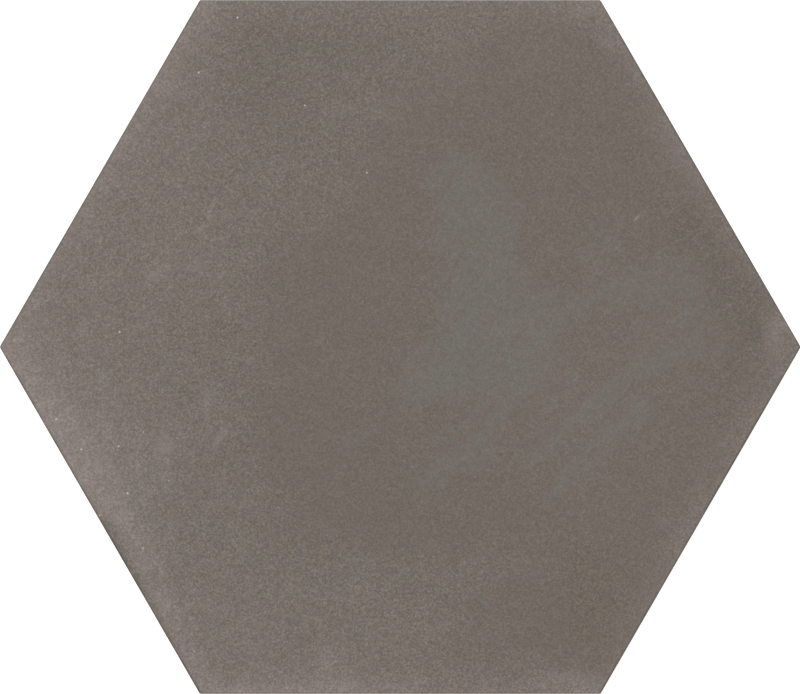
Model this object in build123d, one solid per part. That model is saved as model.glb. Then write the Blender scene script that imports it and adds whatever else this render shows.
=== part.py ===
from build123d import *
from math import cos, radians, sqrt, tan
import os

# A hexagonal porcelain floor tile, dry-pressed and fired in one piece.
# The origin is the middle of the bedding plane. +Z leaves the face, +X points to a corner
# and +Y to the middle of a side.

# Driving dimensions, in millimetres and degrees
across_flats = 216.5        # work size, from side to opposite side at the widest level
thickness = 9.0             # from the bedding plane to the face
side_draft = 1.5            # the sides lean in towards the back, so that the die lets go
face_edge_radius = 0.6      # rounded arris between the face and the sides
back_chamfer = 0.5          # bevel between the sides and the back, the same on both legs
corner_land_radius = 0.2    # corners of the flat face, seen from above, at the least
rim_width = 9.0             # plain border of the back, from its edge to the outermost keys
key_rings = 4               # rings of bonding keys around the flat middle cell
key_rib_width = 2.4         # flat ribs that the keys leave between them
key_depth = 0.6             # depth of a key's floor below the bedding plane
key_wall_slope = 30.0       # slope of a key's walls, away from upright

# The arris takes this much off the face, so the sharp edge stands a little outside the work size
edge_setback = face_edge_radius / tan(radians(45 - side_draft / 2))
sharp_apothem = across_flats / 2 + edge_setback - face_edge_radius

# The upright corners are round enough for the arris and the bevel to run around them
corner_radius = corner_land_radius + max(edge_setback, back_chamfer)

# The keys are cells of a honeycomb whose outermost corners just reach the rim
corner_ratio = 1 / cos(radians(30))
back_apothem = sharp_apothem - thickness * tan(radians(side_draft)) - back_chamfer
field_apothem = back_apothem - rim_width
rows_to_rim = key_rings / corner_ratio + corner_ratio / 2
key_pitch = (field_apothem + key_rib_width * corner_ratio / 2) / rows_to_rim
cell_apothem = (key_pitch - key_rib_width) / 2


def hexagon(apothem, turn):
    """A hexagon on the bedding plane: a corner lies on +X at a turn of 0, a side at 30."""
    return Rot(0, 0, turn) * RegularPolygon(apothem, 6, major_radius=False)


def pressed_body():
    """The tile without its keys: a drafted prism with round corners, back bevel and arris."""
    prism = extrude(hexagon(sharp_apothem, 0), thickness)
    sides = prism.faces().filter_by(Axis.Z, reverse=True)
    drafted = draft(sides, Plane.XY.offset(thickness), -side_draft)
    corners = drafted.edges().group_by(Axis.Z)[1]
    rounded = fillet(corners, corner_radius)
    beveled = chamfer(rounded.edges().group_by(Axis.Z)[0], back_chamfer)
    return fillet(beveled.edges().group_by(Axis.Z)[-1], face_edge_radius)


def key_centres():
    """Middles of the honeycomb's cells, row by row; the middle cell stays flat."""
    centres = []
    for row in range(-key_rings, key_rings + 1):
        first = max(-key_rings, -row - key_rings)
        last = min(key_rings, key_rings - row)
        for step in range(first, last + 1):
            if row != 0 or step != 0:
                x = key_pitch * (step + row / 2)
                y = key_pitch * row * sqrt(3) / 2
                centres.append((x, y))
    return centres


def hexagon_tile():
    """The whole tile: the pressed body with a shallow, slope-walled pocket for each key."""
    key = extrude(hexagon(cell_apothem, 30), key_depth, taper=key_wall_slope)
    keys = [Pos(x, y, 0) * key for x, y in key_centres()]
    return pressed_body() - keys


os.makedirs("parts", exist_ok=True)
export_step(hexagon_tile(), "parts/hexagon_tile.step")
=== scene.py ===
import bmesh
import bpy
import math
import numpy as np
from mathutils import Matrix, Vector


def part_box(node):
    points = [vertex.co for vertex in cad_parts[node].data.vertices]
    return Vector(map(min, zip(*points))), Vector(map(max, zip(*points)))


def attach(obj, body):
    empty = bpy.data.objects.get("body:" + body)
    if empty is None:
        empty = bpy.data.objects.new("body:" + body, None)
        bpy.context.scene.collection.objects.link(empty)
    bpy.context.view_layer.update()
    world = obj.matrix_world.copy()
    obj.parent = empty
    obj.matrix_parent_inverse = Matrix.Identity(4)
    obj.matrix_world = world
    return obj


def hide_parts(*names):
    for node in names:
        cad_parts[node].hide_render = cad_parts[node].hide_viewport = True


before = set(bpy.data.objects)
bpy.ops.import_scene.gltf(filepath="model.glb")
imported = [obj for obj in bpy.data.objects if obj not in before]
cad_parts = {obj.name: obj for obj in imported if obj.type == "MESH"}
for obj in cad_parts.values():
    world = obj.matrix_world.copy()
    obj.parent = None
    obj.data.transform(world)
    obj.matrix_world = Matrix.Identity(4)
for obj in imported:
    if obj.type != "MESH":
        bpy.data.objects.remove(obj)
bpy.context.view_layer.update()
mm = 0.001

# The tile as pressed: its overall sizes come from the frame
tileLow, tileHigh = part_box("hexagon_tile")
tileShape = {
    "acrossFlats": tileHigh.y - tileLow.y,
    "thickness": tileHigh.z - tileLow.z,
    "edgeRadius": 0.6 * mm,              # rounded arris around the face
    "cornerLand": 0.2 * mm,              # corner radius of the flat face
    "sideDraft": math.radians(1.5),
    "backChamfer": 0.5 * mm,
    "edgeSoftening": 0.15 * mm,          # reach of the small roundings that pressing leaves
    "edgeSag": 0.07 * mm,                # the face drops about this much towards its edge
    "edgeSagReach": 2.5 * mm,
    "edgeWander": 0.45,                  # share by which that drop varies along the edge
    "edgeWaves": (4 * mm, 30 * mm),      # shortest and longest of its waves
    "faceWave": 0.025 * mm,              # slow unevenness of the fired face
    "faceWaves": (14 * mm, 70 * mm),
    "rimWidth": 9.0 * mm,                # plain border of the back
    "keyRings": 4,
    "keyRibWidth": 2.4 * mm,
    "keyDepth": 0.6 * mm,
    "keyWallSlope": math.radians(30),
    "keyCorner": 1.2 * mm,               # corner radius of a key's mouth
    "keyFloorRing": 1.2 * mm,            # ring on a key's floor, this far from its wall
    "arcPoints": 9,                      # points on a corner of the outline
    "sidePoints": 103,                   # points on a side, between the corners
    "faceRings": 82,
    "ringCrowding": 1.25,                # above 1, the rings of the face crowd towards its edge
    "faceRim": 0.05 * mm,                # the last ring of the face lies this far inside its edge
    "heelLand": 0.4 * mm,                # width of the ring that ends the bevel on the back
    "arrisRows": 8,
    "sideRows": 6,
    "mergeReach": 0.002 * mm,
}


# Smooth step from 0 to 1: t * t * (3 - 2 t), with t the clipped share of the way from low to high
def softStep(value, low, high):
    t = np.clip((value - low) / (high - low), 0, 1)
    return t * t * (3 - 2 * t)


# Rolling unevenness of unit strength: plane waves of seeded directions, lengths and phases, added up
def rollingWaves(x, y, lengths, seed, count=40):
    draw = np.random.default_rng(seed)
    turn = draw.uniform(0, 2 * np.pi, count)
    number = 2 * np.pi / np.exp(draw.uniform(*np.log(lengths), count))
    phase = draw.uniform(0, 2 * np.pi, count)
    swing = np.outer(x, np.cos(turn) * number) + np.outer(y, np.sin(turn) * number) + phase
    return np.cos(swing).sum(1) * math.sqrt(2 / count)


# Six copies of flat points, each turned 60 degrees further about the middle
def sixTurns(points):
    turn = np.radians(60 * np.arange(6))
    matrix = np.array([[np.cos(turn), -np.sin(turn)], [np.sin(turn), np.cos(turn)]])
    return np.einsum("ijk,nj->kni", matrix, points)


# Distances from a point to the six sides, counted from the +X+Y one: half the work size less the
# point's reach along each side's normal, with the place along the side as a second array
def sideDistances(x, y):
    turn = np.radians(30 + 60 * np.arange(6))
    inward = tileShape["acrossFlats"] / 2 - np.outer(x, np.cos(turn)) - np.outer(y, np.sin(turn))
    return inward, np.outer(y, np.cos(turn)) - np.outer(x, np.sin(turn))


# Apothems of the sharp outline, of the core that its round corners run about, and of the back's edge
def apothems(s):
    setback = s["edgeRadius"] / math.tan(math.pi / 4 - s["sideDraft"] / 2)
    sharp = s["acrossFlats"] / 2 + setback - s["edgeRadius"]
    core = sharp - s["cornerLand"] - max(setback, s["backChamfer"])
    return sharp, core, sharp - s["thickness"] * math.tan(s["sideDraft"]) - s["backChamfer"]


# Hexagon path: a corner arc and the side after it, six times. A ring is base + normal * offset,
# so this one path carries every row of the profile, and its corners stay round.
def hexagonPath(core, arcPoints, sidePoints):
    corner = core / math.cos(math.radians(30)) * np.array([[1, 0], [0.5, math.sqrt(0.75)]])
    along = np.arange(1, sidePoints + 1)[:, None] / (sidePoints + 1)
    base = np.vstack([np.repeat(corner[:1], arcPoints, 0), corner[0] + along * (corner[1] - corner[0])])
    turn = np.radians(np.append(np.linspace(-30, 30, arcPoints), np.full(sidePoints, 30)))
    normal = np.column_stack([np.cos(turn), np.sin(turn)])
    return sixTurns(base).reshape(-1, 2), sixTurns(normal).reshape(-1, 2)


# Rounds one corner of a profile: a quadratic curve from reach before the corner to reach after it
def softCorner(before, corner, after, reach, steps):
    before, corner, after = (np.asarray(p, float) for p in (before, corner, after))
    start = corner + (before - corner) * reach / np.linalg.norm(before - corner)
    end = corner + (after - corner) * reach / np.linalg.norm(after - corner)
    t = np.linspace(0, 1, steps)[:, None]
    return (1 - t) ** 2 * start + 2 * t * (1 - t) * corner + t ** 2 * end


# Side profile as rows of (offset from the core, height): arris, drafted side and bevel
def sideProfile(s):
    core, back = apothems(s)[1:]
    t = np.linspace(math.pi / 2, -s["sideDraft"], s["arrisRows"] + 1)
    arris = np.column_stack([
        s["cornerLand"] + s["edgeRadius"] * np.cos(t),
        s["thickness"] - s["edgeRadius"] + s["edgeRadius"] * np.sin(t),
    ])
    heel = np.array([back - core, 0])
    lean = math.tan(s["sideDraft"])
    foot = np.array([arris[-1, 0] - (arris[-1, 1] - s["backChamfer"]) * lean, s["backChamfer"]])
    bevel = np.vstack([
        softCorner(arris[-1], foot, heel, s["edgeSoftening"], 4),
        softCorner(foot, heel, heel - [mm, 0], 0.4 * heel[0], 3),  # short enough to stay outside the core
    ])
    down = np.linspace(0, 1, s["sideRows"] + 1)[1:-1, None]
    side = arris[-1] + down * (bevel[0] - arris[-1])
    return np.vstack([arris, side, bevel])


# Quads between neighbouring rings: row i, column j to row i + 1, column j + 1, closed around
def ringQuads(rows, columns):
    index = np.arange(rows * columns).reshape(rows, columns)
    ahead = np.roll(index, -1, 1)
    return np.stack([index[:-1], ahead[:-1], ahead[1:], index[1:]], -1).reshape(-1, 4)


# Outer skin: the face is its edge ring shrunk towards the middle, the rest is the profile carried along
# the path. The face sinks by the edge sag, times 1 + its wander, and by faceWave times 1.5 + waves / 2,
# which is never below 0, so that it stays under its pressed height. The arris goes with it.
def outerSkin(s):
    core = apothems(s)[1]
    base, normal = hexagonPath(core, s["arcPoints"], s["sidePoints"])
    profile = sideProfile(s)
    t = np.arange(1, s["faceRings"] + 1) / (s["faceRings"] + 1)
    shrink = np.append(1 - (1 - t) ** s["ringCrowding"], 1 - s["faceRim"] / core)
    wall = base + profile[:, None, :1] * normal
    face = shrink[:, None, None] * wall[0]
    land = wall[-1:] * (1 - s["heelLand"] / core)
    height = np.concatenate([np.full(len(shrink), s["thickness"]), profile[:, 1], [0]])
    flat = np.concatenate([face, wall, land])
    rings = np.concatenate([flat, np.broadcast_to(height[:, None, None], flat.shape[:2] + (1,))], -1)
    points = np.vstack([[[0, 0, s["thickness"]]], rings.reshape(-1, 3)])
    first = np.arange(len(base)) + 1
    fan = np.column_stack([np.zeros(len(base), int), first, np.roll(first, -1)])
    quads = ringQuads(len(rings), len(base)) + 1
    x, y, z = points.T
    inset = sideDistances(x, y)[0].min(1)
    waves = np.clip(1.5 + 0.5 * rollingWaves(x, y, s["faceWaves"], 5), 0, 3)
    wander = np.clip(1 + s["edgeWander"] * rollingWaves(x, y, s["edgeWaves"], 6), 0, 2.5)
    sink = s["edgeSag"] * wander * np.exp(-inset / s["edgeSagReach"]) + s["faceWave"] * waves
    points[:, 2] -= sink * softStep(z, s["thickness"] - s["edgeRadius"], s["thickness"])
    return points, [fan, quads], land[0]


# One rounded hexagon of 36 points, six to a side: an arc from the corner, the side's middle and an arc
# to the next corner, about a core hexagon that is smaller by the corner radius
def keyRing(apothem, corner):
    turn = np.radians([-30, -15, 0, 0, 0, 15])
    across = np.array([-1, -1, -1, 0, 1, 1]) * math.tan(math.radians(30)) * (apothem - corner)
    side = np.column_stack([apothem - corner + corner * np.cos(turn), across + corner * np.sin(turn)])
    return sixTurns(side).reshape(-1, 2)


# Back: every cell of the honeycomb is a stack of rings from its border, in the middle of the rib, over
# the soft lip and down the wall to the floor. The middle cell stays flat. A flat strip joins the outer
# cells to the rim.
def keyedBack(s, rim):
    ratio = 1 / math.cos(math.radians(30))
    field = apothems(s)[2] - s["rimWidth"]
    pitch = (field + s["keyRibWidth"] * ratio / 2) / (s["keyRings"] / ratio + ratio / 2)
    mouth = (pitch - s["keyRibWidth"]) / 2
    bottom = mouth - s["keyDepth"] * math.tan(s["keyWallSlope"])
    top, foot = [mouth, 0], [bottom, s["keyDepth"]]
    profile = np.vstack([
        softCorner([mouth + mm, 0], top, foot, s["edgeSoftening"], 4),
        softCorner(top, foot, [bottom - mm, s["keyDepth"]], 2 * s["edgeSoftening"], 4),
        [[bottom - s["keyFloorRing"], s["keyDepth"]], [bottom * 0.5, s["keyDepth"]]],
    ])
    across = np.array([-1, -0.9, -0.8, 0, 0.8, 0.9]) * pitch / 2 * math.tan(math.radians(30))
    border = sixTurns(np.column_stack([np.full(6, pitch / 2), across])).reshape(1, -1, 2)
    rings = np.concatenate([border, [keyRing(a, s["keyCorner"] * a / mouth) for a in profile[:, 0]]])
    heights = np.append(0, profile[:, 1])

    count = s["keyRings"]
    step, row = (a.ravel() for a in np.meshgrid(*[np.arange(-count, count + 1)] * 2))
    kept = np.abs(step + row) <= count
    step, row = step[kept], row[kept]
    centre = pitch * np.column_stack([step + row / 2, row * math.sqrt(0.75)])
    depth = np.where((step == 0) & (row == 0), 0, 1)
    cells, rows, columns = len(centre), len(rings), rings.shape[1]
    flat = centre[:, None, None] + rings
    height = np.broadcast_to(depth[:, None, None, None] * heights[:, None, None], flat.shape[:3] + (1,))
    points = np.concatenate([flat, height], -1).reshape(-1, 3)
    middles = np.column_stack([centre, depth * heights[-1]])
    first = rows * columns * np.arange(cells)[:, None]
    quads = (ringQuads(rows, columns) + first[..., None]).reshape(-1, 4)
    last = first + (rows - 1) * columns + np.arange(columns)
    hub = np.broadcast_to(len(points) + np.arange(cells)[:, None], last.shape)
    fans = np.stack([last, np.roll(last, -1, 1), hub], -1).reshape(-1, 3)

    # A border point is on the outline where the cell across its side is missing
    beyond = np.stack([step, row], -1)[:, None] + [[1, 0], [0, 1], [-1, 1], [-1, 0], [0, -1], [1, -1]]
    missing = (np.abs(beyond).max(-1) > count) | (np.abs(beyond.sum(-1)) > count)
    missing = np.repeat(missing, 6, 1)
    missing |= np.roll(missing & (np.arange(36) % 6 == 5), 1, 1)
    outline = flat[:, 0][missing]
    outline = outline[np.unique(np.round(outline, 7), axis=0, return_index=True)[1]]
    strip, stripFaces = flatStrip(outline, rim)
    return np.vstack([points, middles, strip]), [quads, fans, stripFaces + len(points) + cells]


# Flat strip between two closed outlines around the origin: both are walked by angle together, and
# each step forward on one of them makes a triangle with the other's last point
def flatStrip(inner, outer):
    inner, outer = (p[np.argsort(np.arctan2(p[:, 1], p[:, 0]))] for p in (inner, outer))
    flat = np.vstack([inner, outer])
    order = np.argsort(np.arctan2(flat[:, 1], flat[:, 0]), kind="stable")
    onInner = order < len(inner)
    i = (np.cumsum(onInner) - 1) % len(inner)
    o = (np.cumsum(~onInner) - 1) % len(outer)
    before = np.where(onInner, (i - 1) % len(inner), (o - 1) % len(outer) + len(inner))
    now = np.where(onInner, i, o + len(inner))
    other = np.where(onInner, o + len(inner), i)
    return np.column_stack([flat, np.zeros(len(flat))]), np.column_stack([before, now, other])


# Joins the surfaces into one closed mesh: shared points are merged and the faces turned outwards
def tileMesh(s):
    skin, skinFaces, rim = outerSkin(s)
    back, backFaces = keyedBack(s, rim)
    faces = skinFaces + [f + len(skin) for f in backFaces]
    mesh = bpy.data.meshes.new("porcelainTile")
    mesh.from_pydata(np.vstack([skin, back]).tolist(), [], [f for block in faces for f in block.tolist()])
    work = bmesh.new()
    work.from_mesh(mesh)
    bmesh.ops.remove_doubles(work, verts=work.verts, dist=s["mergeReach"])
    bmesh.ops.recalc_face_normals(work, faces=work.faces)
    openEdges = sum(len(e.link_faces) != 2 for e in work.edges)
    work.to_mesh(mesh)
    work.free()
    mesh.polygons.foreach_set("use_smooth", np.ones(len(mesh.polygons), bool))
    mesh.calc_loop_triangles()
    print("tile mesh:", len(mesh.loop_triangles), "triangles,", openEdges, "open edges")
    return mesh


# Reads a mesh property into an array with the given number of columns
def readMesh(collection, name, columns, kind=float):
    values = np.empty(len(collection) * columns, kind)
    collection.foreach_get(name, values)
    return values.reshape(-1, columns)


# Flat layout of the surface: the face by (x, y) over most of the square, the six sides as upright strips
# by (height, place along the side) to its right, and the back's two halves, one upside down, below
def layOut(mesh):
    layout = {
        "faceScale": 1 / (300 * mm),
        "sideScale": 1 / (362 * mm),
        "backScale": 1 / (448 * mm),
        "sideColumn": 0.85,              # where the strips of the sides begin
        "sideSlope": (-0.4, 0.5),        # upward part of the normals that count as a side's
        "margin": 0.005,
    }
    place = readMesh(mesh.vertices, "co", 3)
    centre = readMesh(mesh.polygons, "center", 3)
    normal = readMesh(mesh.polygons, "normal", 3)
    loops = readMesh(mesh.polygons, "loop_total", 1, int)[:, 0]
    owner = np.repeat(np.arange(len(loops)), loops)
    x, y, z = place[readMesh(mesh.loops, "vertex_index", 1, int)[:, 0]].T
    halfWidth = tileShape["acrossFlats"] / math.sqrt(3)
    halfHeight = tileShape["acrossFlats"] / 2
    margin = layout["margin"]
    scale = layout["faceScale"]
    uv = np.column_stack([margin + (x + halfWidth) * scale, 1 - margin - (halfHeight - y) * scale])

    scale = layout["sideScale"]
    side = (np.degrees(np.arctan2(centre[:, 1], centre[:, 0])) % 360 // 60).astype(int)[owner]
    along = np.take_along_axis(sideDistances(x, y)[1], side[:, None], 1)[:, 0]
    left = layout["sideColumn"] + (side % 3) * (tileShape["thickness"] * scale + 3 * margin)
    bottom = 1 - margin - (1 + side // 3) * (halfWidth * scale + margin)
    strip = np.column_stack([left + z * scale, bottom + (along + halfWidth / 2) * scale])
    lowest, highest = layout["sideSlope"]
    isBack = normal[owner, 2] <= lowest
    isSide = (normal[owner, 2] < highest) & ~isBack
    uv[isSide] = strip[isSide]

    scale = layout["backScale"]
    upper = centre[owner, 1] > 0
    shift = np.where(upper, margin, margin + (1.5 * halfWidth * scale + 2 * margin))
    foot = np.where(upper, margin + y * scale, margin + (halfHeight + y) * scale)
    half = np.column_stack([shift + (x + halfWidth) * scale, foot])
    uv[isBack] = half[isBack]
    layer = mesh.uv_layers.new(name="OFBake")
    layer.uv.foreach_set("vector", uv.astype(np.float32).ravel())
    print("layout:", [round(v, 3) for v in uv.min(0)], "to", [round(v, 3) for v in uv.max(0)])


# Soft spot: 1 inside and 0 outside an ellipse, with the edge spread over the given share of its reach
def softSpot(x, y, centre, reach, turn, spread):
    c, s = math.cos(math.radians(turn)), math.sin(math.radians(turn))
    u = ((x - centre[0]) * c + (y - centre[1]) * s) / reach[0]
    v = ((y - centre[1]) * c - (x - centre[0]) * s) / reach[1]
    return softStep(-np.hypot(u, v), -1 - spread, -1 + spread)


# Soft stroke: 1 on the line from start to end, falling to 0 at twice the width beside it
def softStroke(x, y, start, end, width):
    run = np.subtract(end, start)
    t = np.clip(((x - start[0]) * run[0] + (y - start[1]) * run[1]) / (run @ run), 0, 1)
    beside = np.hypot(x - start[0] - t * run[0], y - start[1] - t * run[1])
    return 1 - softStep(beside, 0.2 * width, 2 * width)


# Lays soft marks over each other: what one leaves open, 1 - strength * mark, the next one covers
def overlay(layers):
    left = 1
    for strength, mark in layers:
        left = left * (1 - strength * mark)
    return 1 - left


# Where the glaze's washes lie on the face, in millimetres from its middle
washPlan = {
    "umber": [                           # strength, centre, reach, turn
        (0.9, (37, 68), (36, 23), -20),
        (0.7, (57, 87), (24, 14), -20),
        (1.0, (75, 44), (32, 20), -60),
        (0.9, (0, 38), (42, 16), 65),
        (0.9, (-20, 0), (24, 38), 0),
        (0.9, (-20, -32), (20, 20), 0),
        (0.9, (8, -51), (42, 14), 0),
        (1.0, (62, -46), (32, 20), 20),
        (0.8, (75, -40), (24, 14), 30),
        (0.6, (38, -84), (20, 12), 0),
        (1.0, (80, -24), (20, 18), 0),
        (1.0, (62, -76), (22, 26), 25),
        (1.0, (40, 10), (44, 40), 0),
        (1.0, (98, 8), (18, 26), 30),
        (0.9, (24, -30), (28, 18), 0),
        (0.4, (-12, 57), (9, 9), 0),
        (0.3, (24, -95), (8, 7), 0),
    ],
    "slate": [
        (0.8, (19, 53), (11, 10), 0),
        (0.9, (24, 34), (17, 14), 90),
        (0.9, (27, 12), (22, 14), 85),
        (0.85, (31, -3), (24, 13), 30),
        (0.75, (9, -8), (15, 10), 45),
        (0.45, (62, 34), (14, 6), 45),
        (0.5, (88, 6), (16, 12), 0),
        (0.4, (74, 21), (26, 10), 12),
        (0.4, (44, -14), (16, 10), 40),
        (0.45, (20, -32), (15, 8), 35),
        (0.45, (49, -43), (7, 3), 30),
    ],
    "slateStrokes": [                    # strength, start, end, width
        (0.35, (48, 14), (92, 22), 4.0),
        (0.55, (98, -3), (76, -6), 3.2),
        (0.65, (76, -6), (41, -33), 3.4),
        (0.65, (76, -20), (54, -38), 5.2),
        (0.4, (27, -25), (8, -42), 4.6),
        (0.5, (8, -10), (-24, -40), 3.6),
    ],
    "olive": [
        (0.8, (-42, 89), (20, 16), 0),
        (0.35, (-28, 76), (36, 22), 0),
        (0.4, (-18, 92), (24, 8), 0),
        (0.4, (-44, 6), (13, 26), 0),
        (0.4, (-34, -30), (14, 20), 0),
        (0.8, (-65, -39), (9, 15), -30),
    ],
    "cool": [
        (0.7, (-26, 78), (50, 24), 0),
        (0.8, (-46, 4), (12, 46), 0),
        (0.6, (-82, -14), (22, 14), 0),
        (0.7, (-66, -52), (24, 16), -20),
        (1.0, (-4, -70), (54, 12), 0),
        (0.5, (84, 4), (26, 26), 0),
    ],
    "peat": [
        (0.64, (60, -76), (13, 24), 20),
        (0.3, (80, -38), (10, 16), -50),
        (0.3, (60, 70), (30, 22), -30),
    ],
    "shade": [
        (0.6, (107, 10), (7, 7), 0),
    ],
    "shadeStrokes": [
        (0.4, (54, 98), (75, 79), 4.0),
        (0.3, (70, 68), (85, 40), 4.0),
        (0.8, (90, 36), (107, 6), 5.5),
        (0.6, (106, 3), (99, -22), 4.0),
    ],
    "pale": [
        (0.15, (-88, 44), (30, 34), 30),
        (0.14, (-66, 86), (16, 16), 0),
        (0.13, (-84, -46), (28, 28), 0),
        (0.09, (-31, -90), (46, 18), 0),
        (0.10, (-58, -82), (18, 20), 0),
        (0.06, (-91, -5), (20, 18), 0),
        (0.05, (75, -20), (42, 48), 0),
        (0.12, (55, 106), (10, 4), 0),
        (0.16, (116.5, 0.5), (3.8, 3.2), 0),
        (0.12, (-75, 22), (5, 5), 0),
        (0.10, (0, 73), (8, 7), 0),
        (0.08, (17, 83), (7, 6), 0),
        (0.06, (-28, 76), (11, 5), 0),
        (0.18, (-80, -42), (7, 5), 0),
        (0.16, (-77, -57), (6, 7), 0),
        (0.10, (-85, -27), (7, 6), 0),
        (0.11, (-95, -13), (9, 6), 0),
        (0.07, (43, -70), (12, 5), 0),
        (0.10, (-17, -96), (5, 8), 0),
        (0.06, (-60, -23), (5, 9), 0),
        (0.08, (-51.5, 14.5), (5, 6), 0),
        (0.06, (44, 90), (10, 5), 0),
        (0.10, (-75, -32), (6, 5), 0),
        (0.29, (-95, -28), (7, 8), 0),
        (0.25, (-93, -45), (6, 8), 0),
        (0.17, (-74, -81), (5, 7), 0),
        (0.11, (-67, -84), (6, 8), 0),
        (0.25, (-76, 82), (6, 5), 0),
        (0.22, (-87, 63), (6, 5), 0),
        (0.20, (-60, 101), (8, 4), 0),
        (0.05, (-43, -105), (9, 4), 0),
        (0.25, (-19, -101), (8, 6), 0),
        (0.08, (-33, -99), (6, 4), 0),
        (0.32, (53, -104.5), (12, 4.6), 0),
        (0.18, (67, 97), (6, 3), 0),
    ],
    "paleStrokes": [
        (0.42, (-116, -9), (-88, -51), 4.6),
        (0.57, (-88, -52), (-80, -68), 4.6),
        (0.45, (-76, -78), (-61, -106), 3.6),
        (0.2, (-50, -106), (4, -106), 2.2),
        (0.4, (-59, -107.5), (-14, -107.5), 1.6),
        (0.72, (-123.4, -0.6), (-98, -45), 1.9),
        (0.44, (119.4, 8.2), (115.0, 2.2), 1.9),
        (0.13, (81.5, 69), (91, 51), 3.2),
        (0.4, (-84, -72), (-66, -102), 1.2),
    ],
    "bareStrokes": [                     # where the edge has lost its pale dust
        (0.95, (-91.4, -57), (-83, -72), 1.8),
        (0.7, (-82, -73), (-68, -97), 1.0),
    ],
    "paleEdges": [                       # strength, reach, and the share on a side's second half
        (0.18, 4.2, 2.4),
        (0.24, 4.0, 0.8),
        (0.70, 4.2, 0.75),
        (0.90, 13.0, 0.1),
        (0.60, 4.6, 0.5),
        (0.30, 4.0, 1.0),
    ],
    # Dark line on the arris, partly the darker bare arris and partly painted shade: the lower left and
    # lower right sides, facing away from the light, get the most
    "arrisEdges": [                      # strength on a side's first half and on its second
        (0.45, 0.42),
        (0.12, 0.12),
        (0.32, 0.4),
        (0.5, 0.85),
        (0.0, 0.0),
        (0.6, 0.6),
    ],
    "spread": {                          # how soft the spots' edges are, as a share of their reach
        "umber": 0.6, "slate": 0.55, "olive": 0.6, "cool": 0.6, "peat": 0.7, "shade": 0.7, "pale": 0.6,
    },
    "warp": 1.6,                         # how far the patches' outlines wander
    "warpWaves": (16, 60),               # shortest and longest of those waves
    "dustChange": (-16, 10),             # where along a side its second half takes over
    "arrisChange": (-12, 12),
    "arrisUneven": 0.4,                  # share by which the line on the arris varies
    "arrisLimits": (0.2, 1.4),           # and the least and most of it that is left
    "arrisWaves": (6, 45),
    "arrisReach": (0.3, 0.9),            # the line fades between these distances from the side
    "glazeInset": 0.4,                   # the glaze reaches its full cover this far in
    "glazeFoot": (0.75, 0.45),           # and ends between these depths below the face
    "dustHeight": 0.2,                   # the back's wash stays on its ribs and rim, below this height
    "dustFacing": (0.6, 0.95),           # and comes in between these downward parts of the normal
}


# The soft spots of one wash, each with its strength
def spotsOf(name, x, y):
    spread = washPlan["spread"][name]
    return [(k, softSpot(x, y, c, r, t, spread)) for k, c, r, t in washPlan[name]]


# The soft strokes of one list, each with its strength
def strokesOf(name, x, y):
    return [(k, softStroke(x, y, a, b, w)) for k, a, b, w in washPlan[name]]


# Point values that the glaze reads: each wash is its spots laid over each other, on wandering coordinates,
# and its strokes, on coordinates that wander half as far. Dust fades exponentially from the sides.
def layWashes(mesh):
    place = readMesh(mesh.vertices, "co", 3)
    normal = readMesh(mesh.vertices, "normal", 3)
    x, y, z = place.T
    plan = washPlan
    length = {name: np.multiply(value, mm) for name, value in plan.items() if name in (
        "warpWaves", "dustChange", "arrisChange", "arrisWaves", "arrisReach", "glazeInset",
        "glazeFoot", "dustHeight",
    )}
    inward, along = sideDistances(x, y)
    px = x / mm + plan["warp"] * rollingWaves(x, y, length["warpWaves"], 21)
    py = y / mm + plan["warp"] * rollingWaves(x, y, length["warpWaves"], 22)
    qx, qy = (px + x / mm) / 2, (py + y / mm) / 2
    strength, reach, kept = np.array(plan["paleEdges"]).T
    fade = np.exp(-np.clip(inward, 0, None) / (reach * mm))
    fade *= 1 - (1 - kept) * softStep(along, *length["dustChange"])
    dust = spotsOf("pale", px, py) + strokesOf("paleStrokes", qx, qy) + list(zip(strength, fade.T))
    bare = overlay(strokesOf("bareStrokes", qx, qy))
    inset = inward.min(1)
    # Dark line on the arris, per side: partly the darker bare arris, partly painted shade, laid on most
    # where a side faces away from the light
    first, second = np.array(plan["arrisEdges"]).T
    edge = first + (second - first) * softStep(along, *length["arrisChange"])
    edge = np.take_along_axis(edge, inward.argmin(1)[:, None], 1)[:, 0]
    uneven = 1 + plan["arrisUneven"] * rollingWaves(x, y, length["arrisWaves"], 23)
    edge *= np.clip(uneven, *plan["arrisLimits"])
    nearTop = softStep(z, *(tileShape["thickness"] - length["glazeFoot"]))
    values = {
        "umberWash": overlay(spotsOf("umber", px, py)),
        "slateWash": overlay(spotsOf("slate", px, py) + strokesOf("slateStrokes", qx, qy)),
        "oliveWash": overlay(spotsOf("olive", px, py)),
        "coolWash": overlay(spotsOf("cool", px, py)),
        "peatWash": overlay(spotsOf("peat", px, py)),
        "shadeWash": overlay(spotsOf("shade", px, py) + strokesOf("shadeStrokes", qx, qy)),
        "paleDust": overlay(dust) * (1 - bare),
        "glazeCover": softStep(inset, 0, length["glazeInset"]) * nearTop,
        "arrisLineAndShade": (1 - softStep(inset, *length["arrisReach"])) * nearTop * edge,
        "backDust": softStep(-normal[:, 2], *plan["dustFacing"]) * (z < length["dustHeight"]),
    }
    for name, value in values.items():
        mesh.attributes.new(name, "FLOAT", "POINT").data.foreach_set("value", value.astype(np.float32))
    print("washes:", {name: round(float(value.mean()), 3) for name, value in values.items()})


# Screen colour as 0-255 steps, turned into the linear values that Blender's sockets take
def paint(red, green, blue):
    c = np.array([red, green, blue]) / 255
    return (*np.where(c > 0.04045, ((c + 0.055) / 1.055) ** 2.4, c / 12.92), 1)


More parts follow.
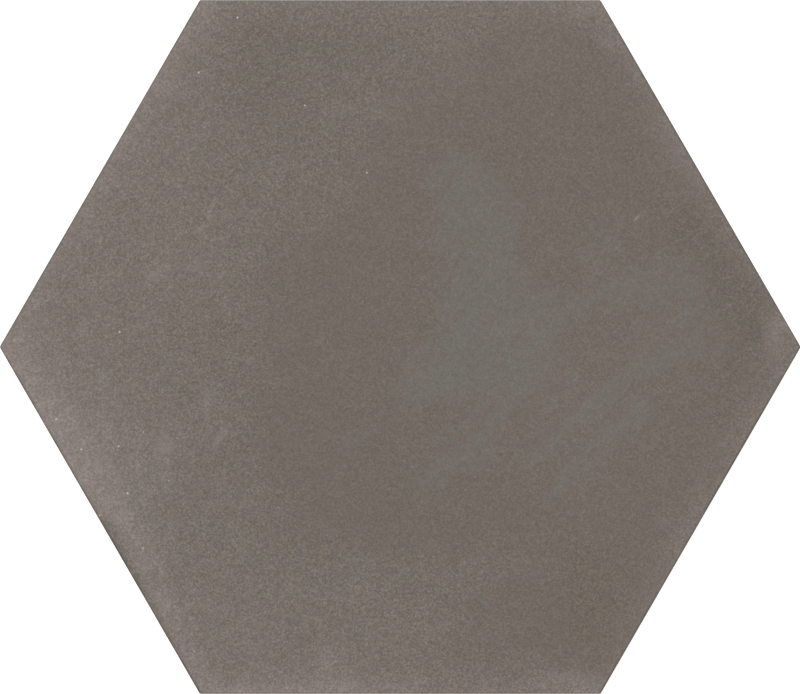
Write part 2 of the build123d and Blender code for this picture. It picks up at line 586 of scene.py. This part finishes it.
# Adds a node, with its settings by name and its sockets from values or from other nodes' outputs
def addNode(tree, kind, sockets=None, **settings):
    node = tree.nodes.new(kind)
    for name, value in settings.items():
        setattr(node, name, value)
    for key, value in (sockets or {}).items():
        if isinstance(value, bpy.types.NodeSocket):
            tree.links.new(value, node.inputs[key])
        else:
            node.inputs[key].default_value = value
    return node


# One arithmetic node's output
def mathNode(tree, operation, a, b=0.0, clamp=False, third=0.0):
    sockets = {0: a, 1: b, 2: third}
    return addNode(tree, "ShaderNodeMath", sockets, operation=operation, use_clamp=clamp).outputs[0]


# The same for colours and places
def vectorNode(tree, operation, *sockets):
    return addNode(tree, "ShaderNodeVectorMath", dict(enumerate(sockets)), operation=operation).outputs[0]


# a + (noise - 0.5) * amount, as one multiply-add after the centring
def roughen(tree, a, noise, amount):
    return mathNode(tree, "MULTIPLY_ADD", mathNode(tree, "SUBTRACT", noise, 0.5), amount, third=a)


# A value roughened by several noises in turn, each (name, amount)
def breakUp(tree, broken, noise, breaks):
    for name, amount in breaks:
        broken = roughen(tree, broken, noise[name], amount)
    return broken


# Straight change from one level at 0 to another at 1
def fromTo(tree, value, low, high):
    return addNode(tree, "ShaderNodeMapRange", {"Value": value, "To Min": low, "To Max": high}).outputs[0]


# Smooth ramp from low to high, as 0 to 1
def ramp(tree, value, low, high):
    sockets = {"Value": value, "From Min": low, "From Max": high}
    return addNode(tree, "ShaderNodeMapRange", sockets, interpolation_type="SMOOTHSTEP").outputs[0]


# Mixes two colours: a where the factor is 0, b where it is 1
def blend(tree, factor, a, b):
    return addNode(tree, "ShaderNodeMix", {0: factor, 6: a, 7: b}, data_type="RGBA").outputs[2]


# Noise on the tile's own coordinates, with features of about the given size
def grain(tree, coordinates, size, detail, roughness, output=0):
    sockets = {"Vector": coordinates, "Scale": 1 / size, "Detail": detail, "Roughness": roughness}
    return addNode(tree, "ShaderNodeTexNoise", sockets).outputs[output]


# Small soft ellipses, each (x, y, half length, half width, turn, strength) in millimetres and degrees:
# the strongest of them, falling from full inside the given share of an ellipse to nothing at 1.4 of it
def marks(tree, flat, plan, core):
    strongest = 0.0
    for x, y, length, width, turn, strength in plan:
        fit = addNode(tree, "ShaderNodeMapping", {
            "Vector": flat, "Location": (x * mm, y * mm, 0), "Rotation": (0, 0, math.radians(turn)),
            "Scale": (length * mm, width * mm, 1),
        }, vector_type="TEXTURE").outputs[0]
        reach = addNode(tree, "ShaderNodeVectorMath", {0: fit}, operation="LENGTH").outputs["Value"]
        inside = addNode(tree, "ShaderNodeMapRange", {
            "Value": reach, "From Min": core, "From Max": 1.4, "To Min": strength, "To Max": 0.0,
        }, interpolation_type="SMOOTHSTEP").outputs[0]
        strongest = mathNode(tree, "MAXIMUM", inside, strongest)
    return strongest


# Scattered points, at most one in each cell of the given size: those whose seeded draw is above 0.82 show,
# the higher the brighter, as dots that fade out between 0.4 and 1.5 of the given radius
def sprinkle(tree, flat, cell, radius):
    sockets = {"Vector": flat, "Scale": 1 / cell}
    dots = addNode(tree, "ShaderNodeTexVoronoi", sockets, voronoi_dimensions="2D").outputs
    draw = addNode(tree, "ShaderNodeSeparateColor", {0: dots["Color"]}).outputs[0]
    dot = ramp(tree, dots["Distance"], 1.5 * radius / cell, 0.4 * radius / cell)
    return mathNode(tree, "MULTIPLY", dot, ramp(tree, draw, 0.82, 1.15))


# The glaze's colours, and how its washes and grain are mixed
glaze = {
    "greige": paint(117.4, 110.1, 102.6),
    "greigeWarm": paint(119.4, 109.5, 100.8),
    "olive": paint(113.2, 104.9, 96.2),
    "cool": paint(116, 110.8, 103.6),
    "umber": paint(113.9, 104.2, 95.9),
    "peat": paint(111.5, 101.4, 91.2),
    "shade": paint(108.2, 100.6, 91.4),
    "slate": paint(113.8, 109.3, 102.2),
    "pale": paint(144, 133, 127.5),
    "speck": paint(202, 193, 185),
    # dark line on the arris: the bare arris's darker colour, with painted shade in it
    "arris": paint(90, 85, 74),
    "body": paint(102, 93, 84),
    "bodySpot": paint(88, 79, 72),
    "engobe": paint(136, 128, 119),
    "noises": {                          # size, detail and roughness
        "cloud": (24 * mm, 5, 0.6),
        "billow": (9 * mm, 2, 0.5),
        "mottle": (4 * mm, 4, 0.6),
        "strokes": (4 * mm, 5, 0.65),
        "grit": (1.5 * mm, 2, 0.6),
        "clay": (0.8 * mm, 3, 0.7),
        "sand": (0.51 * mm, 0.5, 0.6),
    },
    "strokeTurn": 47.0,                  # direction in which the slate was wiped on
    "strokeStretch": 6.0,
    "breakUp": {                         # noises that break each wash up, with their amounts
        "umber": [("strokes", 0.9), ("grit", 0.6)],
        "slate": [("strokes", 1.9), ("mottle", 0.6), ("grit", 1.0)],
        "olive": [("cloud", 0.6), ("mottle", 0.4)],
        "peat": [("mottle", 0.9), ("grit", 0.6)],
        "shade": [("mottle", 0.9), ("grit", 0.6)],
        "cool": [("mottle", 1.4), ("cloud", 0.8)],
    },
    "washEnds": {                        # what counts as none and as all of a wash
        "umber": (0.0, 0.9), "slate": (0.2, 1.0), "olive": (0.1, 1.0),
        "peat": (0.1, 1.0), "shade": (0.1, 1.0), "cool": (0.1, 1.2),
    },
    "warmEnds": (0.0, 0.8),              # the same for the warmer greige, in the clouds
    "slateCover": (0.9, 0.7),            # how much of what lies under it the slate covers, and its mottling
    "coolCover": 0.25,
    "dustBreaks": [("mottle", 1.1), ("grit", 0.4)],
    "dots": (3 * mm, 2, 0.75),           # size, detail and roughness
    "dotShift": (0.31, 0.17, 0.05),      # keeps the dots' noise apart from the others
    "dotColour": 0.2,                    # share by which the print's dots stray in colour
    "dotSpread": (0.64, 1.3),            # how much of it shows outside and inside the cool and slate washes
    "grainMix": [("sand", 0.57), ("grit", 0.17), ("mottle", 0.1), ("billow", 0.07)],
    "grainDepth": (1.9, 2.0, 2.13),      # grain changes red, green and blue by about the same step
    "grainLevel": -0.002,
    "grainLift": 1.0,                    # the pale grains stand out more than the dark ones
    "grainRange": (1.1, 0.54),           # strength of the grain where it is open and where it is calm
    "umberCalm": 0.64,                   # how far the umber calms it, where no peat or shade lies on it
    "slateCalm": 1.9,
    "dustCalm": 0.35,                    # share of the grain that full dust hides
    "wisps": [                           # x, y, half length, half width, turn and strength
        (-60.4, -18.5, 7.0, 0.9, 92, 0.45),
        (-56.0, -28.0, 5.0, 1.4, 55, 0.55),
        (-73.5, -31.0, 4.0, 3.0, 60, 0.55),
        (-58.5, 44.0, 2.8, 0.8, 58, 0.6),
        (-59.6, 40.4, 2.4, 0.8, 115, 0.6),
        (-62.0, 36.8, 3.2, 0.9, 35, 0.5),
        (-62.5, 25.5, 4.0, 2.2, 10, 0.25),
        (-75.0, 23.0, 4.0, 2.2, 20, 0.3),
        (-56.0, 21.0, 3.0, 2.5, 0, 0.15),
        (-79.0, 8.0, 5.0, 1.0, 80, 0.15),
        (73.8, 40.3, 1.8, 0.5, 50, 0.9),
        (73.3, 84.4, 1.6, 0.9, 80, 0.5),
        (106.4, 18.8, 0.6, 0.4, 80, 0.5),
    ],
    "wispBreak": 2.0,
    "specks": [                          # place and radius of the small pale points, in millimetres
        (-50.7, 102.7, 0.3), (-62.8, 85.6, 0.3), (-29.7, 75.3, 0.25), (-10.4, 54.3, 0.25),
        (-87.5, 4.7, 0.3), (-107.2, -22.5, 0.3), (-99.4, -31.9, 0.3), (-87.8, -30.9, 0.25),
        (-85.0, -45.6, 0.3), (-93.7, -52.5, 0.25),
    ],
    "speckCore": 0.6,                    # share of a speck that is fully pale
    "scatterCell": 8 * mm,
    "scatterRadius": 0.26 * mm,
    "scatterRange": (0.25, 2.5),         # strength of the scattered points off the dust and under all of it
    "bodySpots": (0.58, 0.72),           # where in the clay's noise its darker spots begin and are full
    "engobeBreak": 1.0,
    "engobeEnds": (0.4, 1.3),
    "roughness": 0.66,
    "roughnessBreak": 0.12,
    "slateSheen": 0.05,                  # the slate is this much smoother
    "specular": 0.35,
    "bumpStrength": 0.3,
    "bumpDepth": 0.03 * mm,
    "bumpSand": 0.5,                     # share of the sand in the bump, beside all of the grit
}


# The tile's one finish: a greige glaze with umber and slate washes, pale dust and sandy grain over it,
# and the bare body on the sides and back, with a dark line on the arris that is partly painted shade
def porcelainMaterial():
    g = glaze
    material = bpy.data.materials.new("porcelain")
    material.use_nodes = True
    tree = material.node_tree
    tree.nodes.clear()
    place = addNode(tree, "ShaderNodeTexCoord").outputs["Object"]
    value = {
        name: addNode(tree, "ShaderNodeAttribute", attribute_name=name).outputs["Fac"]
        for name in (
            "umberWash", "slateWash", "oliveWash", "coolWash", "peatWash", "shadeWash",
            "paleDust", "glazeCover", "arrisLineAndShade", "backDust",
        )
    }
    wiped = addNode(tree, "ShaderNodeMapping", {
        "Vector": place, "Rotation": (0, 0, math.radians(g["strokeTurn"])),
        "Scale": (g["strokeStretch"], 1, 1),
    }, vector_type="TEXTURE").outputs[0]
    noise = {
        name: grain(tree, wiped if name == "strokes" else place, *settings)
        for name, settings in g["noises"].items()
    }

    # The washes over each other, the dust last
    wash = {
        name: ramp(tree, breakUp(tree, value[name + "Wash"], noise, breaks), *g["washEnds"][name])
        for name, breaks in g["breakUp"].items()
    }
    cover, mottling = g["slateCover"]
    mottled = roughen(tree, cover, noise["mottle"], mottling)
    wash["slate"] = mathNode(tree, "MULTIPLY", wash["slate"], mottled)
    wash["cool"] = mathNode(tree, "MULTIPLY", wash["cool"], g["coolCover"])
    patchy = breakUp(tree, 1.0, noise, g["dustBreaks"])
    wash["pale"] = mathNode(tree, "MULTIPLY", value["paleDust"], patchy, True)
    colour = blend(tree, ramp(tree, noise["cloud"], *g["warmEnds"]), g["greige"], g["greigeWarm"])
    for name in ("olive", "cool", "umber", "peat", "shade", "slate", "pale"):
        colour = blend(tree, wash[name], colour, g[name])

    # Colour of the print's dots: each channel strays by itself, 1 + (noise - 0.5) * share, and most in
    # the cool and slate washes
    shifted = vectorNode(tree, "ADD", place, g["dotShift"])
    dots = grain(tree, shifted, *g["dots"], "Color")
    stray = g["dotColour"]
    dots = vectorNode(tree, "MULTIPLY_ADD", dots, (stray,) * 3, (1 - stray / 2,) * 3)
    mingled = mathNode(tree, "MAXIMUM", value["coolWash"], value["slateWash"])
    dots = blend(tree, fromTo(tree, mingled, *g["dotSpread"]), (1, 1, 1, 1), dots)
    colour = vectorNode(tree, "MULTIPLY", colour, dots)

    # Sandy grain, calmer under the umber and calmest under the slate: colour * (1 + swing * grainDepth),
    # where the swing is mixed * (1 + lift * mixed) * strength
    dark = mathNode(tree, "MAXIMUM", wash["peat"], wash["shade"])
    calm = mathNode(tree, "MULTIPLY", wash["umber"], fromTo(tree, dark, g["umberCalm"], 0.0))
    smeared = mathNode(tree, "MULTIPLY", value["slateWash"], g["slateCalm"], True)
    strength = fromTo(tree, mathNode(tree, "MAXIMUM", calm, smeared), *g["grainRange"])
    showing = mathNode(tree, "MULTIPLY_ADD", value["paleDust"], -g["dustCalm"], third=1.0)
    strength = mathNode(tree, "MULTIPLY", strength, showing)
    mixed = breakUp(tree, g["grainLevel"], noise, g["grainMix"])
    lifted = mathNode(tree, "MULTIPLY_ADD", mixed, g["grainLift"], third=1.0)
    swing = mathNode(tree, "MULTIPLY", mathNode(tree, "MULTIPLY", mixed, lifted), strength)
    level = vectorNode(tree, "MULTIPLY_ADD", swing, g["grainDepth"], (1, 1, 1))
    colour = vectorNode(tree, "MULTIPLY", colour, level)

    # Pale wisps and points
    flat = vectorNode(tree, "MULTIPLY", place, (1, 1, 0))
    torn = roughen(tree, 1.0, noise["grit"], g["wispBreak"])
    wisps = mathNode(tree, "MULTIPLY", marks(tree, flat, g["wisps"], 0.0), torn, True)
    colour = blend(tree, wisps, colour, g["pale"])
    specks = marks(tree, flat, [(x, y, r, r, 0, 1.0) for x, y, r in g["specks"]], g["speckCore"])
    scatter = sprinkle(tree, flat, g["scatterCell"], g["scatterRadius"])
    scatter = mathNode(tree, "MULTIPLY", scatter, fromTo(tree, value["paleDust"], *g["scatterRange"]))
    points = mathNode(tree, "MINIMUM", mathNode(tree, "MAXIMUM", specks, scatter), 1.0)
    colour = blend(tree, points, colour, g["speck"])

    # Bare body on the sides and back, with the pale wash that keeps it from sticking in the kiln
    body = blend(tree, ramp(tree, noise["clay"], *g["bodySpots"]), g["body"], g["bodySpot"])
    streaks = roughen(tree, value["backDust"], noise["mottle"], g["engobeBreak"])
    body = blend(tree, ramp(tree, streaks, *g["engobeEnds"]), body, g["engobe"])
    colour = blend(tree, value["glazeCover"], body, colour)
    # Dark line on the arris: the darker bare arris, with painted shade on the sides that face away from the
    # light
    colour = blend(tree, value["arrisLineAndShade"], colour, g["arris"])

    sheen = roughen(tree, g["roughness"], noise["mottle"], g["roughnessBreak"])
    sheen = roughen(tree, sheen, wash["slate"], -g["slateSheen"])
    tooth = mathNode(tree, "ADD", mathNode(tree, "MULTIPLY", noise["sand"], g["bumpSand"]), noise["grit"])
    bump = addNode(tree, "ShaderNodeBump", {
        "Strength": g["bumpStrength"], "Distance": g["bumpDepth"], "Height": tooth,
    })
    shader = addNode(tree, "ShaderNodeBsdfPrincipled", {
        "Base Color": colour, "Roughness": sheen, "Normal": bump.outputs[0],
        "Specular IOR Level": g["specular"],
    })
    addNode(tree, "ShaderNodeOutputMaterial", {"Surface": shader.outputs[0]})
    print("porcelain finish:", len(tree.nodes), "nodes")
    return material


mesh = tileMesh(tileShape)
layOut(mesh)
layWashes(mesh)
mesh.materials.append(porcelainMaterial())
tile = bpy.data.objects.new("porcelainTile", mesh)
bpy.context.collection.objects.link(tile)
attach(tile, "root")
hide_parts("hexagon_tile")

# Pale floor, soft light and the photo's view
studio = {
    "floorDrop": 0.2 * mm,               # the floor lies this far below the tile
    "floorSize": 6.0,
    "floorColour": (0.82, 0.82, 0.82, 1),
    "floorRoughness": 0.9,
    "floorSpecular": 0.1,
    "floorGlow": 0.7,                    # lifts the floor to white where it is looked at
    "skyLevel": 0.39,
    "keyPlace": (-0.6, 1.2, 2.1),
    "keySize": 1.6,
    "keyPower": 28.5,
    "fillPlace": (0.8, -1.1, 2.1),
    "fillSize": 1.6,
    "fillPower": 9.0,
    "lens": 120.0,
    "viewWidth": 249.6 * mm,             # what the frame shows at the level of the arris
    "viewLevel": 8.4 * mm,
    "viewShift": (-0.053 * mm, -0.016 * mm),
}


# Is this ray a look at the background, straight, mirrored or through glass: the sum of the three, clipped
def looking(tree):
    path = addNode(tree, "ShaderNodeLightPath").outputs
    seen = mathNode(tree, "ADD", path["Is Camera Ray"], path["Is Glossy Ray"])
    return mathNode(tree, "ADD", seen, path["Is Transmission Ray"], True)


# Floor: one flat square, its material a pale diffuse with a glow for the rays that look at it
def layFloor(s):
    half = s["floorSize"] / 2
    square = ((-half, -half), (half, -half), (half, half), (-half, half))
    corners = [(x, y, -s["floorDrop"]) for x, y in square]
    mesh = bpy.data.meshes.new("studioFloor")
    mesh.from_pydata(corners, [], [(0, 1, 2, 3)])
    material = bpy.data.materials.new("studioFloor")
    material.use_nodes = True
    tree = material.node_tree
    tree.nodes.clear()
    glow = mathNode(tree, "MULTIPLY", looking(tree), s["floorGlow"])
    shader = addNode(tree, "ShaderNodeBsdfPrincipled", {
        "Base Color": s["floorColour"], "Roughness": s["floorRoughness"],
        "Specular IOR Level": s["floorSpecular"],
        "Emission Color": (1, 1, 1, 1), "Emission Strength": glow,
    })
    addNode(tree, "ShaderNodeOutputMaterial", {"Surface": shader.outputs[0]})
    mesh.materials.append(material)
    floor = bpy.data.objects.new("studioFloor", mesh)
    bpy.context.collection.objects.link(floor)


# Even sky: white where it is looked at, and a softer level as light
def hangSky(s):
    world = bpy.data.worlds.new("studioSky")
    world.use_nodes = True
    tree = world.node_tree
    tree.nodes.clear()
    strength = fromTo(tree, looking(tree), s["skyLevel"], 1.0)
    sky = addNode(tree, "ShaderNodeBackground", {"Color": (1, 1, 1, 1), "Strength": strength})
    addNode(tree, "ShaderNodeOutputWorld", {"Surface": sky.outputs[0]})
    bpy.context.scene.world = world


# Square soft lamp that faces the tile's middle
def hangLamp(name, place, size, power):
    lamp = bpy.data.lights.new(name, "AREA")
    lamp.size = size
    lamp.energy = power
    holder = bpy.data.objects.new(name, lamp)
    holder.location = place
    holder.rotation_euler = (-Vector(place)).to_track_quat("-Z", "Y").to_euler()
    holder.visible_camera = False
    bpy.context.collection.objects.link(holder)


# Camera straight above the face: its height is the lens over the sensor's width times the view's width
def setCamera(s):
    camera = bpy.data.cameras.new("photoCamera")
    camera.lens = s["lens"]
    camera.clip_start = 0.01
    holder = bpy.data.objects.new("photoCamera", camera)
    height = s["viewLevel"] + s["viewWidth"] * s["lens"] / camera.sensor_width
    holder.location = (*s["viewShift"], height)
    bpy.context.collection.objects.link(holder)
    bpy.context.scene.camera = holder


layFloor(studio)
hangSky(studio)
hangLamp("keyLamp", studio["keyPlace"], studio["keySize"], studio["keyPower"])
hangLamp("fillLamp", studio["fillPlace"], studio["fillSize"], studio["fillPower"])
setCamera(studio)
bpy.context.scene.view_settings.view_transform = "Standard"
print("studio: floor, sky, two lamps and camera")
